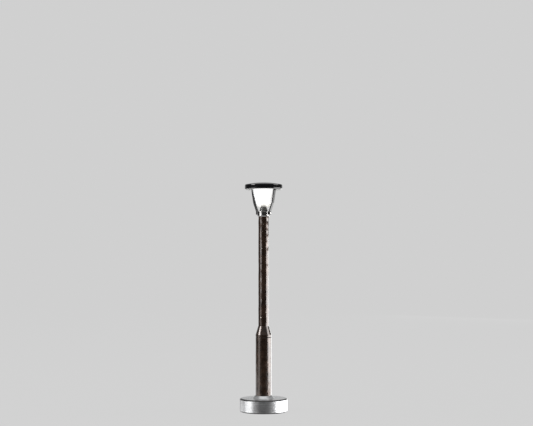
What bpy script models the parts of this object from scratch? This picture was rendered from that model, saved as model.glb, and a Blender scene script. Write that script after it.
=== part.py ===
"""Model street lamp: a plug-in mast with a conical lantern, standing in a turned metal base.

Units are metres and +Z is up. The origin is the centre of the base's underside, and the mast's axis is Z.
The two support arms of the lantern lie along X. Run it with blender --background --python part.py.
"""

import math

import bmesh
import bpy
from mathutils import Matrix

MM = 0.001

# Clearances
FIT_GAP = 0.02 * MM  # between pieces that are pressed, glued or soldered together
RUNNING_GAP = 0.03 * MM  # between the plug and the socket that it slides and turns in

# Base, a turned cup that holds the socket
BASE_DIAMETER = 8.9 * MM
BASE_HEIGHT = 2.5 * MM
BASE_WALL = 0.75 * MM
BASE_TOP_THICKNESS = 0.6 * MM
BASE_CHAMFER = 0.2 * MM
BASE_FOOT_CHAMFER = 0.16 * MM
HUB_HEIGHT = 0.5 * MM  # the low cone on top of the base, round the mast's foot
HUB_LAND = 0.1 * MM
HUB_SLOPE_WIDTH = 0.42 * MM

# Contact board under the base, with what is soldered on it
BOARD_LIFT = 0.05 * MM
BOARD_THICKNESS = 0.4 * MM
CHIP_LENGTH = 1.4 * MM
CHIP_WIDTH = 0.8 * MM
CHIP_HEIGHT = 0.4 * MM
GROMMET_SIDE_ROOM = 0.2 * MM  # from the grommet's flange to the socket and to the base's wall
GROMMET_WALL = 0.12 * MM
GROMMET_FLANGE = 0.12 * MM
GROMMET_HEIGHT = 0.25 * MM

# Socket in the base
SLEEVE_WALL = 0.45 * MM
SLEEVE_FLANGE_WIDTH = 0.45 * MM
SLEEVE_FLANGE_THICKNESS = 0.25 * MM
GROOVE_DEPTH = 0.25 * MM
GROOVE_HEIGHT = 0.4 * MM
GRIP_RING_OPENING = 0.6 * MM
CUP_TO_PLUG = 0.1 * MM  # all round, between the cup and the plug's bore
CUP_DEPTH = 0.5 * MM
CUP_FLANGE_WIDTH = 0.15 * MM
CUP_FLANGE_THICKNESS = 0.12 * MM
CUP_STEM_DIAMETER = 0.4 * MM

# Plug on the mast's foot
PLUG_STEP = 0.25 * MM  # how far the plug is set in from the tube's outside
PLUG_CHAMFER = 0.1 * MM
PLUG_TO_BOARD = 0.3 * MM
SPIGOT_LENGTH = 2.5 * MM
PLUG_BORE_DIAMETER = 1.3 * MM
PIN_DIAMETER = 0.6 * MM
PIN_TO_BOARD = 0.25 * MM
PIN_TAIL = 0.3 * MM  # how far the pin stands out of its insulator
PLUG_INSULATOR_TO_CUP = 0.12 * MM

# Mast
LOWER_TUBE_DIAMETER = 3.0 * MM
LOWER_TUBE_WALL = 0.45 * MM
LOWER_TUBE_LENGTH = 11.35 * MM
UPPER_TUBE_DIAMETER = 1.96 * MM
UPPER_TUBE_WALL = 0.33 * MM
UPPER_TUBE_SHOWN = 21.35 * MM  # from the reducer's top to the tube's own top
TUBE_CHAMFER = 0.06 * MM
REDUCER_HEIGHT = 2.05 * MM
REDUCER_LAND = 0.45 * MM  # the straight band under the cone
REDUCER_LIP = 0.02 * MM
REDUCER_FLOOR = 0.25 * MM
REDUCER_SPIGOT_LENGTH = 1.6 * MM

# Wires from the light-emitting diode down to the plug
WIRE_DIAMETER = 0.16 * MM
WIRE_SPACING = 0.24 * MM  # between the wires' centres at the holder
WIRE_SPREAD = 0.6 * MM  # between their centres inside the upper tube
WIRE_WANDER = 0.05 * MM
WIRE_POINTS = 26

# Lantern
COLLAR_WALL = 0.18 * MM
COLLAR_OVERLAP = 0.8 * MM  # how far the collar reaches down over the tube
COLLAR_CHAMFER = 0.14 * MM
HOLDER_FLANGE_THICKNESS = 0.18 * MM
HOLDER_HEIGHT = 1.3 * MM
HOLDER_TOP_DIAMETER = 0.84 * MM
HOLDER_BORE_DIAMETER = 0.56 * MM
HOLDER_SPIGOT_LENGTH = 0.9 * MM
HOLDER_TO_GLASS = 0.08 * MM
LED_BOARD_DIAMETER = 1.0 * MM
LED_BOARD_THICKNESS = 0.12 * MM
LED_SIZE = 0.5 * MM
LED_HEIGHT = 0.22 * MM
LED_LENS_DIAMETER = 0.42 * MM
GLASS_HEIGHT = 4.24 * MM
GLASS_SETBACK = 0.1 * MM  # of the glass's foot from the collar's edge
GLASS_TOP_DIAMETER = 4.24 * MM
GLASS_WALL = 0.2 * MM
ARM_WIDTH = 0.7 * MM
ARM_THICKNESS = 0.25 * MM
ARM_FOOT_LENGTH = 0.6 * MM  # how far the arm reaches down over the collar
ARM_STANDOFF = 0.33 * MM  # from the glass to the arm at the arm's knee
ARM_CLEARANCE = 0.06 * MM  # from the glass to the arm at the top
ARM_KNEE_HEIGHT = 1.6 * MM  # above the collar
ARM_SHOULDER_DROP = 0.35 * MM  # below the glass's rim
RIVET_DIAMETER = 0.26 * MM
RIVET_HEAD_DIAMETER = 0.48 * MM
RIVET_HEAD_HEIGHT = 0.12 * MM

# Roof
ROOF_DIAMETER = 7.1 * MM
ROOF_SKIRT_WALL = 0.3 * MM
ROOF_SKIRT_HEIGHT = 1.0 * MM
ROOF_LIP_DROP = 0.17 * MM  # how far the skirt hangs below the plate inside it
ROOF_TOP_ROUNDING = 0.2 * MM
ROOF_LIP_ROUNDING = 0.25 * MM
ROOF_DOME_RISE = 0.4 * MM
ROOF_PLATE_THICKNESS = 0.2 * MM
TENON_LENGTH = 0.06 * MM  # how far an arm's tenon stands above the plate
TENON_ROOM = 0.3 * MM
REFLECTOR_RIM = 0.08 * MM
REFLECTOR_DEPTH = 0.26 * MM

# Facets round a turned piece
LARGE_FACETS = 56
TUBE_FACETS = 40
SMALL_FACETS = 24
TINY_FACETS = 16

# Radii that follow from the driving dimensions
base_radius = BASE_DIAMETER / 2
cavity_radius = base_radius - BASE_WALL
lower_radius = LOWER_TUBE_DIAMETER / 2
lower_bore = lower_radius - LOWER_TUBE_WALL
upper_radius = UPPER_TUBE_DIAMETER / 2
upper_bore = upper_radius - UPPER_TUBE_WALL
plug_radius = lower_radius - PLUG_STEP
spigot_radius = lower_bore - FIT_GAP
plug_bore = PLUG_BORE_DIAMETER / 2
pin_radius = PIN_DIAMETER / 2
socket_bore = plug_radius + RUNNING_GAP
sleeve_radius = socket_bore + SLEEVE_WALL
sleeve_flange_radius = sleeve_radius + SLEEVE_FLANGE_WIDTH
groove_radius = socket_bore + GROOVE_DEPTH
cup_bore = pin_radius + RUNNING_GAP
cup_radius = plug_bore - CUP_TO_PLUG
collar_bore = upper_radius + FIT_GAP
collar_radius = collar_bore + COLLAR_WALL
glass_bottom_radius = collar_radius - GLASS_SETBACK
glass_top_radius = GLASS_TOP_DIAMETER / 2
roof_radius = ROOF_DIAMETER / 2
roof_inner_radius = roof_radius - ROOF_SKIRT_WALL
roof_plate_radius = roof_inner_radius - FIT_GAP
rivet_radius = RIVET_DIAMETER / 2
# The ring-shaped room round the socket, where the board's components stand along its middle
component_room = cavity_radius - sleeve_radius
component_radius = sleeve_radius + component_room / 2
grommet_flange_radius = component_room / 2 - GROMMET_SIDE_ROOM
grommet_radius = grommet_flange_radius - GROMMET_FLANGE
grommet_bore = grommet_radius - GROMMET_WALL

# Heights that follow, from the floor up
board_top = BOARD_LIFT + BOARD_THICKNESS
chips_foot = board_top + FIT_GAP
insulator_foot = chips_foot + CHIP_HEIGHT + FIT_GAP
sleeve_flange_top = BASE_HEIGHT - BASE_TOP_THICKNESS - FIT_GAP
sleeve_flange_foot = sleeve_flange_top - SLEEVE_FLANGE_THICKNESS
groove_foot = (board_top + BASE_HEIGHT - GROOVE_HEIGHT) / 2
groove_top = groove_foot + GROOVE_HEIGHT
plug_tip = board_top + PLUG_TO_BOARD
pin_tip = board_top + PIN_TO_BOARD
cup_top = pin_tip + CUP_DEPTH
spigot_top = BASE_HEIGHT + SPIGOT_LENGTH
plug_insulator_foot = cup_top + PLUG_INSULATOR_TO_CUP
plug_insulator_top = spigot_top - PIN_TAIL
pin_top = spigot_top + PIN_TAIL
lower_tube_foot = BASE_HEIGHT + FIT_GAP
lower_tube_top = lower_tube_foot + LOWER_TUBE_LENGTH
reducer_foot = lower_tube_top + FIT_GAP
reducer_top = reducer_foot + REDUCER_HEIGHT
reducer_seat = reducer_foot + REDUCER_FLOOR
upper_tube_foot = reducer_seat + FIT_GAP
upper_tube_top = reducer_top + UPPER_TUBE_SHOWN
collar_foot = upper_tube_top - COLLAR_OVERLAP
holder_flange_foot = upper_tube_top + FIT_GAP
collar_top = holder_flange_foot + HOLDER_FLANGE_THICKNESS
holder_top = collar_top + HOLDER_HEIGHT
led_board_foot = holder_top + FIT_GAP
led_foot = led_board_foot + LED_BOARD_THICKNESS + FIT_GAP
lens_foot = led_foot + LED_HEIGHT + FIT_GAP
glass_foot = collar_top + FIT_GAP
glass_top = glass_foot + GLASS_HEIGHT
roof_plate_foot = glass_top + FIT_GAP
roof_plate_top = roof_plate_foot + ROOF_PLATE_THICKNESS
roof_skirt_foot = roof_plate_foot - ROOF_LIP_DROP
roof_ceiling = roof_plate_top + TENON_ROOM
arm_foot = collar_top - ARM_FOOT_LENGTH
rivet_height = arm_foot + ARM_FOOT_LENGTH / 2


def glass_radius_at(height):
    """Outside radius of the conical glass, which widens evenly from its foot to its rim."""
    share = (height - glass_foot) / GLASS_HEIGHT
    return glass_bottom_radius + share * (glass_top_radius - glass_bottom_radius)


# Scene set-up


def clear_scene():
    """Removes whatever objects the opened file holds."""
    for obj in list(bpy.data.objects):
        bpy.data.objects.remove(obj, do_unlink=True)


def collection_named(name):
    """A new collection in the scene."""
    made = bpy.data.collections.new(name)
    bpy.context.scene.collection.children.link(made)
    return made


def principled(name, colour, roughness, metallic=0.0):
    """A Principled material in one plain colour."""
    material = bpy.data.materials.new(name)
    material.use_nodes = True
    shader = material.node_tree.nodes["Principled BSDF"]
    shader.inputs["Base Color"].default_value = (*colour, 1.0)
    shader.inputs["Roughness"].default_value = roughness
    shader.inputs["Metallic"].default_value = metallic
    material.diffuse_color = (*colour, 1.0)
    return material


clear_scene()
parts = collection_named("model_street_lamp")
cutters = collection_named("cutters")

bronze = principled("dark_bronze_finish", (0.09, 0.062, 0.045), 0.35, 0.9)
nickel = principled("nickel_plate", (0.62, 0.62, 0.62), 0.28, 1.0)
black_paint = principled("black_paint", (0.015, 0.015, 0.016), 0.3)
white_paint = principled("white_paint", (0.8, 0.8, 0.78), 0.4)
brass = principled("brass", (0.72, 0.53, 0.25), 0.3, 1.0)
white_plastic = principled("white_plastic", (0.75, 0.74, 0.7), 0.5)
dark_plastic = principled("dark_plastic", (0.05, 0.05, 0.05), 0.5)
circuit_board = principled("circuit_board", (0.04, 0.16, 0.07), 0.5)
copper_enamel = principled("enamelled_copper", (0.5, 0.19, 0.08), 0.3, 0.8)
ceramic = principled("led_ceramic", (0.85, 0.83, 0.75), 0.5)
phosphor = principled("led_phosphor", (0.9, 0.75, 0.25), 0.3)
frosted = principled("frosted_glass", (0.92, 0.94, 0.96), 0.35)


# Shape helpers


def add_object(name, data, material, group):
    """Links new data as an object with its material."""
    obj = bpy.data.objects.new(name, data)
    data.materials.append(material)
    parts.objects.link(obj)
    obj.parent = group
    return obj


def empty(name, parent=None):
    """A frame on the mast's axis that the pieces of one assembly are parented to."""
    made = bpy.data.objects.new(name, None)
    parts.objects.link(made)
    made.parent = parent
    return made


def screw(obj, facets):
    """Turns a profile in the XZ plane once round Z."""
    modifier = obj.modifiers.new("turn", "SCREW")
    modifier.axis = "Z"
    modifier.angle = 2 * math.pi
    modifier.steps = facets
    modifier.render_steps = facets
    modifier.use_merge_vertices = True
    modifier.merge_threshold = 1e-7
    modifier.use_smooth_shade = False
    return modifier


def turned(name, profile, material, group, facets=SMALL_FACETS, location=(0, 0, 0)):
    """A turned piece. The profile's (radius, height) points run down its outer side and up its bore.

    A profile that starts and ends on the axis stays open there, and any other is closed into a ring.
    """
    mesh = bpy.data.meshes.new(name)
    count = len(profile)
    edges = [(i, i + 1) for i in range(count - 1)]
    if profile[0][0] > 0:
        edges.append((count - 1, 0))
    mesh.from_pydata([(radius, 0, height) for radius, height in profile], edges, [])
    obj = add_object(name, mesh, material, group)
    obj.location = location
    screw(obj, facets)
    return obj


def arc(centre_radius, centre_height, radius, start, end, steps):
    """Points along an arc in a profile, with angles in degrees from +X towards +Z."""
    points = []
    for i in range(steps + 1):
        angle = math.radians(start + (end - start) * i / steps)
        points.append((centre_radius + radius * math.cos(angle), centre_height + radius * math.sin(angle)))
    return points


def block(name, size, centre, material, group, bevel=0.0):
    """A box, with its edges rounded off by a small bevel if one is given."""
    bpy.ops.mesh.primitive_cube_add(size=1)
    obj = bpy.context.object
    obj.name = name
    obj.data.name = name
    for holder in list(obj.users_collection):
        holder.objects.unlink(obj)
    parts.objects.link(obj)
    obj.data.transform(Matrix.Diagonal((*size, 1.0)))
    obj.data.materials.append(material)
    obj.location = centre
    obj.parent = group
    if bevel:
        modifier = obj.modifiers.new("edges", "BEVEL")
        modifier.width = bevel
        modifier.segments = 1
    return obj


def as_cutter(obj):
    """Makes a shape a helper that is cut away from others and never shown."""
    parts.objects.unlink(obj)
    cutters.objects.link(obj)
    obj.parent = None
    obj.hide_render = True
    obj.display_type = "WIRE"
    return obj


def cut(obj, cutter):
    """Cuts the cutter out of the object."""
    modifier = obj.modifiers.new("cut_" + cutter.name, "BOOLEAN")
    modifier.operation = "DIFFERENCE"
    modifier.solver = "EXACT"
    modifier.object = cutter


def drill(name, radius, length, centre, along_x=False):
    """A round cutter standing on Z, or lying along X."""
    half = length / 2
    shape = turned(name, [(0, half), (radius, half), (radius, -half), (0, -half)], dark_plastic, None, TINY_FACETS)
    shape.location = centre
    if along_x:
        shape.rotation_euler = (0, math.pi / 2, 0)
    return as_cutter(shape)


def ring_section(inner, outer, top, foot):
    """Profile of a plain ring or tube."""
    return [(inner, top), (outer, top), (outer, foot), (inner, foot)]


def smooth_round_pieces():
    """Shades every turned or bent piece smooth, with its sharp edges kept."""
    for obj in parts.objects:
        if obj.type == "MESH":
            obj.data.shade_smooth()
            obj.data.set_sharp_from_angle(angle=math.radians(30))


# Base and socket


def build_base(group):
    """The turned cup that everything stands on, with a low hub that the mast turns in."""
    bore = sleeve_radius + FIT_GAP
    ceiling = BASE_HEIGHT - BASE_TOP_THICKNESS
    hub_top = BASE_HEIGHT + HUB_HEIGHT
    hub_foot = BASE_HEIGHT + FIT_GAP
    hub_bore = lower_radius + RUNNING_GAP
    turned(
        "base_shell",
        [
            (hub_bore, hub_top),
            (hub_bore + HUB_LAND, hub_top),
            (hub_bore + HUB_LAND + HUB_SLOPE_WIDTH, BASE_HEIGHT),
            (base_radius - BASE_CHAMFER, BASE_HEIGHT),
            (base_radius, BASE_HEIGHT - BASE_CHAMFER),
            (base_radius, BASE_FOOT_CHAMFER),
            (base_radius - BASE_FOOT_CHAMFER, 0),
            (cavity_radius, 0),
            (cavity_radius, ceiling),
            (bore, ceiling),
            (bore, hub_foot),
            (hub_bore, hub_foot),
        ],
        nickel,
        group,
        LARGE_FACETS,
    )


def build_board(group):
    """The contact board that closes the base, its two chips and the grommet for the supply leads."""
    stem_hole = CUP_STEM_DIAMETER / 2 + FIT_GAP
    board = turned(
        "contact_board",
        ring_section(stem_hole, cavity_radius - FIT_GAP, board_top, BOARD_LIFT),
        circuit_board,
        group,
        TUBE_FACETS,
    )
    hole_centre = (0, component_radius, board_top)
    hole = drill("grommet_hole", grommet_radius + FIT_GAP, 4 * BOARD_THICKNESS, hole_centre)
    cut(board, hole)
    turned(
        "lead_grommet",
        [
            (grommet_bore, chips_foot + GROMMET_HEIGHT),
            (grommet_flange_radius, chips_foot + GROMMET_HEIGHT),
            (grommet_flange_radius, chips_foot),
            (grommet_radius, chips_foot),
            (grommet_radius, BOARD_LIFT),
            (grommet_bore, BOARD_LIFT),
        ],
        dark_plastic,
        group,
        SMALL_FACETS,
        (0, component_radius, 0),
    )
    for name, side, material in (("series_resistor", 1, dark_plastic), ("rectifier_diode", -1, dark_plastic)):
        block(
            name,
            (CHIP_WIDTH, CHIP_LENGTH, CHIP_HEIGHT),
            (side * component_radius, 0, chips_foot + CHIP_HEIGHT / 2),
            material,
            group,
            CHIP_HEIGHT / 10,
        )


def build_socket(group, ring_group):
    """The socket that the mast plugs into: outer contact, inner contact, insulator and grip ring."""
    turned(
        "socket_sleeve",
        [
            (socket_bore, BASE_HEIGHT),
            (sleeve_radius, BASE_HEIGHT),
            (sleeve_radius, sleeve_flange_top),
            (sleeve_flange_radius, sleeve_flange_top),
            (sleeve_flange_radius, sleeve_flange_foot),
            (sleeve_radius, sleeve_flange_foot),
            (sleeve_radius, chips_foot),
            (socket_bore, chips_foot),
            (socket_bore, groove_foot),
            (groove_radius, groove_foot),
            (groove_radius, groove_top),
            (socket_bore, groove_top),
        ],
        nickel,
        group,
    )
    turned(
        "socket_insulator",
        ring_section(
            sleeve_radius + FIT_GAP,
            cavity_radius - FIT_GAP,
            sleeve_flange_foot - FIT_GAP,
            insulator_foot,
        ),
        white_plastic,
        group,
        TUBE_FACETS,
    )
    stem = CUP_STEM_DIAMETER / 2
    flange = cup_radius + CUP_FLANGE_WIDTH
    floor = pin_tip - RUNNING_GAP
    turned(
        "centre_contact",
        [
            (0, floor),
            (cup_bore, floor),
            (cup_bore, cup_top),
            (cup_radius, cup_top),
            (cup_radius, chips_foot + CUP_FLANGE_THICKNESS),
            (flange, chips_foot + CUP_FLANGE_THICKNESS),
            (flange, chips_foot),
            (stem, chips_foot),
            (stem, BOARD_LIFT),
            (0, BOARD_LIFT),
        ],
        brass,
        group,
    )
    grip = turned(
        "grip_ring",
        ring_section(
            plug_radius + FIT_GAP,
            groove_radius - FIT_GAP,
            groove_top - FIT_GAP,
            groove_foot + FIT_GAP,
        ),
        nickel,
        ring_group,
    )
    opening = block(
        "grip_ring_opening",
        (GRIP_RING_OPENING, 2 * groove_radius, 2 * GROOVE_HEIGHT),
        (0, -groove_radius, (groove_foot + groove_top) / 2),
        dark_plastic,
        None,
    )
    cut(grip, as_cutter(opening))


# Plug and mast


def build_plug(group):
    """The coaxial plug pressed into the mast's foot."""
    turned(
        "plug_sleeve",
        [
            (plug_bore, spigot_top),
            (spigot_radius, spigot_top),
            (spigot_radius, BASE_HEIGHT),
            (plug_radius, BASE_HEIGHT),
            (plug_radius, plug_tip + PLUG_CHAMFER),
            (plug_radius - PLUG_CHAMFER, plug_tip),
            (plug_bore, plug_tip),
        ],
        brass,
        group,
    )
    turned(
        "plug_insulator",
        ring_section(
            pin_radius + FIT_GAP,
            plug_bore - FIT_GAP,
            plug_insulator_top,
            plug_insulator_foot,
        ),
        white_plastic,
        group,
    )
    nose = pin_radius / 3
    turned(
        "plug_pin",
        [
            (0, pin_top),
            (pin_radius, pin_top),
            (pin_radius, pin_tip + nose),
            (pin_radius - nose, pin_tip),
            (0, pin_tip),
        ],
        brass,
        group,
        TINY_FACETS,
    )


def tube_section(bore, radius, top, foot):
    """Profile of a tube whose outer ends are lightly chamfered."""
    return [
        (bore, top),
        (radius - TUBE_CHAMFER, top),
        (radius, top - TUBE_CHAMFER),
        (radius, foot + TUBE_CHAMFER),
        (radius - TUBE_CHAMFER, foot),
        (bore, foot),
    ]


def build_mast(group):
    """The two tubes and the conical reducer that joins them."""
    turned(
        "lower_mast_tube",
        tube_section(lower_bore, lower_radius, lower_tube_top, lower_tube_foot),
        bronze,
        group,
        TUBE_FACETS,
    )
    turned(
        "mast_reducer",
        [
            (collar_bore, reducer_top),
            (collar_bore + REDUCER_LIP, reducer_top),
            (lower_radius, reducer_foot + REDUCER_LAND),
            (lower_radius, reducer_foot),
            (spigot_radius, reducer_foot),
            (spigot_radius, reducer_foot - REDUCER_SPIGOT_LENGTH),
            (upper_bore, reducer_foot - REDUCER_SPIGOT_LENGTH),
            (upper_bore, reducer_seat),
            (collar_bore, reducer_seat),
        ],
        bronze,
        group,
        TUBE_FACETS,
    )
    turned(
        "upper_mast_tube",
        tube_section(upper_bore, upper_radius, upper_tube_top, upper_tube_foot),
        bronze,
        group,
        TUBE_FACETS,
    )


def build_wire(name, side, end_offset, end_height, group):
    """One enamelled wire from the LED board down the tubes, ending beside or on the plug."""
    start_height = holder_top - FIT_GAP
    points = []
    for i in range(WIRE_POINTS):
        share = i / (WIRE_POINTS - 1)
        height = start_height + (end_height - start_height) * share
        # It leaves the holder narrow, runs spread out in the tube and closes in on its contact.
        spread_in = min(1.0, share / 0.08)
        spread_out = max(0.0, (share - 0.9) / 0.1)
        inside = WIRE_SPACING + (WIRE_SPREAD - WIRE_SPACING) * spread_in
        across = side * inside / 2 * (1 - spread_out) + end_offset * spread_out
        wander = WIRE_WANDER * math.sin(2 * math.pi * 3 * share + side) * spread_in * (1 - spread_out)
        points.append((across, wander, height))
    curve = bpy.data.curves.new(name, "CURVE")
    curve.dimensions = "3D"
    curve.bevel_depth = WIRE_DIAMETER / 2
    curve.bevel_resolution = 1
    curve.use_fill_caps = True
    spline = curve.splines.new("POLY")
    spline.points.add(len(points) - 1)
    for point, place in zip(spline.points, points):
        point.co = (*place, 1.0)
    return add_object(name, curve, copper_enamel, group)


def build_wires(group):
    """The feed wire ends on the pin and the return wire on the plug's sleeve."""
    build_wire("feed_wire", -1, 0.0, pin_top + FIT_GAP, group)
    build_wire("return_wire", 1, (plug_bore + spigot_radius) / 2, spigot_top + FIT_GAP, group)


# Lantern


def build_light(group):
    """The holder on the mast's top with the LED on its small board."""
    bore = HOLDER_BORE_DIAMETER / 2
    cone_foot_radius = glass_bottom_radius - GLASS_WALL - HOLDER_TO_GLASS
    turned(
        "lamp_holder",
        [
            (bore, holder_top),
            (HOLDER_TOP_DIAMETER / 2, holder_top),
            (cone_foot_radius, collar_top),
            (upper_radius, collar_top),
            (upper_radius, holder_flange_foot),
            (upper_bore - FIT_GAP, holder_flange_foot),
            (upper_bore - FIT_GAP, holder_flange_foot - HOLDER_SPIGOT_LENGTH),
            (bore, holder_flange_foot - HOLDER_SPIGOT_LENGTH),
        ],
        dark_plastic,
        group,
    )
    board_radius = LED_BOARD_DIAMETER / 2
    turned(
        "led_board",
        [
            (0, led_board_foot + LED_BOARD_THICKNESS),
            (board_radius, led_board_foot + LED_BOARD_THICKNESS),
            (board_radius, led_board_foot),
            (0, led_board_foot),
        ],
        ceramic,
        group,
    )
    block(
        "led_chip",
        (LED_SIZE, LED_SIZE, LED_HEIGHT),
        (0, 0, led_foot + LED_HEIGHT / 2),
        ceramic,
        group,
        LED_SIZE / 20,
    )
    lens = arc(0, lens_foot, LED_LENS_DIAMETER / 2, 90, 0, 6)
    turned("led_lens", [(0, lens[0][1]), *lens[1:], (0, lens_foot)], phosphor, group)


def build_glass(group):
    """The conical glass that stands on the collar."""
    turned(
        "lantern_glass",
        [
            (glass_top_radius - GLASS_WALL, glass_top),
            (glass_top_radius, glass_top),
            (glass_bottom_radius, glass_foot),
            (glass_bottom_radius - GLASS_WALL, glass_foot),
        ],
        frosted,
        group,
        TUBE_FACETS,
    )


def arm_side_outline():
    """The arm's inner edge from its foot to its tenon, as (radius, height) points."""
    knee = collar_top + ARM_KNEE_HEIGHT
    top_radius = glass_top_radius + ARM_CLEARANCE
    return [
        (collar_radius + FIT_GAP, arm_foot),
        (collar_radius + FIT_GAP, collar_top),
        (glass_radius_at(knee) + ARM_STANDOFF, knee),
        (top_radius, glass_top - ARM_SHOULDER_DROP),
        (top_radius, roof_plate_top + TENON_LENGTH),
    ]


def build_arm(name, side, group):
    """One flat support arm: a bent strip, cut out of sheet as wide as the arm."""
    inner = arm_side_outline()
    outline = inner + [(radius + ARM_THICKNESS, height) for radius, height in reversed(inner)]
    curve = bpy.data.curves.new(name, "CURVE")
    curve.dimensions = "2D"
    curve.fill_mode = "BOTH"
    curve.extrude = ARM_WIDTH / 2
    spline = curve.splines.new("POLY")
    spline.points.add(len(outline) - 1)
    for point, (radius, height) in zip(spline.points, outline):
        point.co = (side * radius, height, 0, 1)
    spline.use_cyclic_u = True
    flat = add_object(name + "_outline", curve, black_paint, None)
    flat.rotation_euler = (math.pi / 2, 0, 0)
    return mesh_of_curve(flat, name, group)


def mesh_of_curve(flat, name, group):
    """The curve's shape as a welded mesh object, which Boolean cuts can use."""
    bpy.context.view_layer.update()
    graph = bpy.context.evaluated_depsgraph_get()
    mesh = bpy.data.meshes.new_from_object(flat.evaluated_get(graph))
    mesh.name = name
    shape = bmesh.new()
    shape.from_mesh(mesh)
    bmesh.ops.remove_doubles(shape, verts=shape.verts, dist=1e-7)
    bmesh.ops.recalc_face_normals(shape, faces=shape.faces)
    shape.to_mesh(mesh)
    shape.free()
    obj = bpy.data.objects.new(name, mesh)
    parts.objects.link(obj)
    obj.matrix_world = flat.matrix_world
    obj.parent = group
    bpy.data.objects.remove(flat)
    return obj


def build_rivet(name, side, group):
    """The domed rivet that holds an arm's foot to the collar, lying along X."""
    head_foot = collar_radius + 2 * FIT_GAP + ARM_THICKNESS
    inner_end = collar_bore + FIT_GAP
    head_radius = RIVET_HEAD_DIAMETER / 2
    dome = [
        (head_radius * math.cos(angle), head_foot + RIVET_HEAD_HEIGHT * math.sin(angle))
        for angle in (math.radians(90 - 18 * i) for i in range(6))
    ]
    rivet = turned(
        name,
        [
            (0, dome[0][1]),
            *dome[1:],
            (rivet_radius, head_foot),
            (rivet_radius, inner_end),
            (0, inner_end),
        ],
        nickel,
        group,
        TINY_FACETS,
        (0, 0, rivet_height),
    )
    rivet.rotation_euler = (0, side * math.pi / 2, 0)


def build_collar_and_arms(group):
    """The collar on the mast's top with the two arms riveted to its sides."""
    collar = turned(
        "head_collar",
        [
            (collar_bore, collar_top),
            (collar_radius, collar_top),
            (collar_radius, collar_foot + COLLAR_CHAMFER),
            (collar_radius - COLLAR_CHAMFER, collar_foot),
            (collar_bore, collar_foot),
        ],
        nickel,
        group,
        TUBE_FACETS,
    )
    for word, side in (("right", 1), ("left", -1)):
        arm = build_arm("support_arm_" + word, side, group)
        hole = drill(
            "rivet_hole_" + word,
            rivet_radius + FIT_GAP,
            2 * (COLLAR_WALL + ARM_THICKNESS),
            (side * (collar_radius + ARM_THICKNESS / 2), 0, rivet_height),
            along_x=True,
        )
        cut(collar, hole)
        cut(arm, hole)
        build_rivet("arm_rivet_" + word, side, group)


def build_roof_plate(group):
    """The white plate that the arms' tenons and the glass's rim locate."""
    plate = turned(
        "roof_plate",
        [
            (0, roof_plate_top),
            (roof_plate_radius, roof_plate_top),
            (roof_plate_radius, roof_plate_foot),
            (0, roof_plate_foot),
        ],
        white_paint,
        group,
        TUBE_FACETS,
    )
    for word, side in (("right", 1), ("left", -1)):
        slot = block(
            "tenon_slot_" + word,
            (ARM_THICKNESS + 2 * FIT_GAP, ARM_WIDTH + 2 * FIT_GAP, 4 * ROOF_PLATE_THICKNESS),
            (
                side * (glass_top_radius + ARM_CLEARANCE + ARM_THICKNESS / 2),
                0,
                (roof_plate_foot + roof_plate_top) / 2,
            ),
            dark_plastic,
            None,
        )
        cut(plate, as_cutter(slot))


def build_reflector(group):
    """The shallow white cone under the plate that throws the light down and out."""
    rim_radius = glass_radius_at(glass_top - REFLECTOR_RIM) - GLASS_WALL - FIT_GAP
    turned(
        "roof_reflector",
        [
            (0, glass_top),
            (rim_radius, glass_top),
            (rim_radius, glass_top - REFLECTOR_RIM),
            (0, glass_top - REFLECTOR_DEPTH),
        ],
        white_paint,
        group,
    )


def build_roof_cap(group):
    """The black cap: a skirt rounded at both edges under a crown that is a flat spherical dome."""
    skirt_top = roof_skirt_foot + ROOF_SKIRT_HEIGHT
    crown_radius = roof_radius - ROOF_TOP_ROUNDING
    sphere_radius = (crown_radius**2 + ROOF_DOME_RISE**2) / (2 * ROOF_DOME_RISE)
    half_angle = math.degrees(math.asin(crown_radius / sphere_radius))
    crown = arc(0, skirt_top + ROOF_DOME_RISE - sphere_radius, sphere_radius, 90, 90 - half_angle, 5)
    top_edge = arc(crown_radius, skirt_top - ROOF_TOP_ROUNDING, ROOF_TOP_ROUNDING, 90, 0, 3)
    lip_radius = roof_radius - ROOF_LIP_ROUNDING
    lip_edge = arc(lip_radius, roof_skirt_foot + ROOF_LIP_ROUNDING, ROOF_LIP_ROUNDING, 0, -90, 4)
    turned(
        "roof_cap",
        [
            (0, crown[0][1]),
            *crown[1:-1],
            *top_edge,
            *lip_edge,
            (roof_inner_radius, roof_skirt_foot),
            (roof_inner_radius, roof_ceiling),
            (0, roof_ceiling),
        ],
        black_paint,
        group,
        LARGE_FACETS,
    )


def build_lamp():
    """The whole lamp. The ring and the mast turn on the base's axis, and the mast pulls out along it."""
    base = empty("base")
    ring = empty("ring_turns_in_base", base)
    mast = empty("mast_pulls_out_of_ring", ring)
    build_base(base)
    build_board(base)
    build_socket(base, ring)
    build_plug(mast)
    build_mast(mast)
    build_wires(mast)
    build_light(mast)
    build_glass(mast)
    build_collar_and_arms(mast)
    build_roof_plate(mast)
    build_reflector(mast)
    build_roof_cap(mast)
    smooth_round_pieces()


build_lamp()
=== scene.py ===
# %% [markdown]
# # A lit scale-model street lamp
#
# The lamp is 43 mm high. Its CAD solids already say where everything is, and this script gives them
# the surfaces that a close look needs: rounded edges, a slightly uneven mast, real finishes and light.
# The frame is loaded first. The finished lamp may not outgrow it.

# %% Load the frame
import math

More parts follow.
